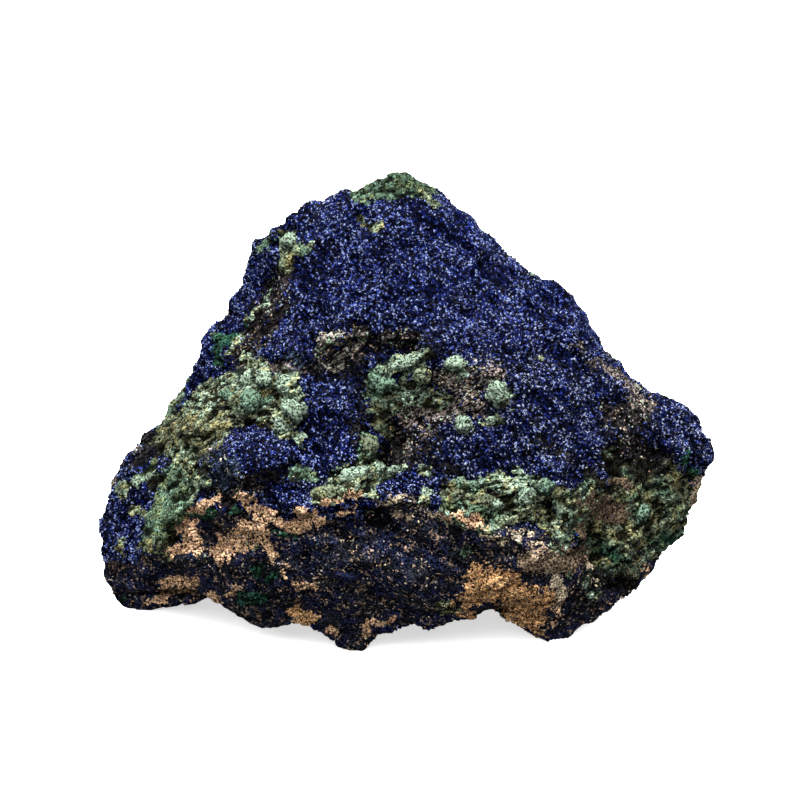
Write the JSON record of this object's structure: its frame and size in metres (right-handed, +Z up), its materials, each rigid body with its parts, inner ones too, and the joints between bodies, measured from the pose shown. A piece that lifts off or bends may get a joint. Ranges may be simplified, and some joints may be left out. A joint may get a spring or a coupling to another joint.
{
  "type": "azurite specimen",
  "caption": "Free-standing mineral specimen: a pyramid-shaped lump of matrix crusted with blue azurite crystals and green malachite.",
  "frame": {"origin": "on the surface that the specimen stands on, under the middle of its box", "axes": "+Z up; the large crystal-covered face looks along -Y and leans back; +X along the specimen's greatest width, to the right as that face is seen"},
  "size_m": [0.1215, 0.078, 0.0872],
  "materials": {
    "azurite_crust": "deep blue crust of tiny glassy crystals on dark brown matrix, with rust-coloured patches",
    "malachite": "dull grey-green rounded knobs with a fine velvety surface"
  },
  "bodies": {
    "root": {"azurite_specimen": "azurite_crust"}
  },
  "joints": []
}
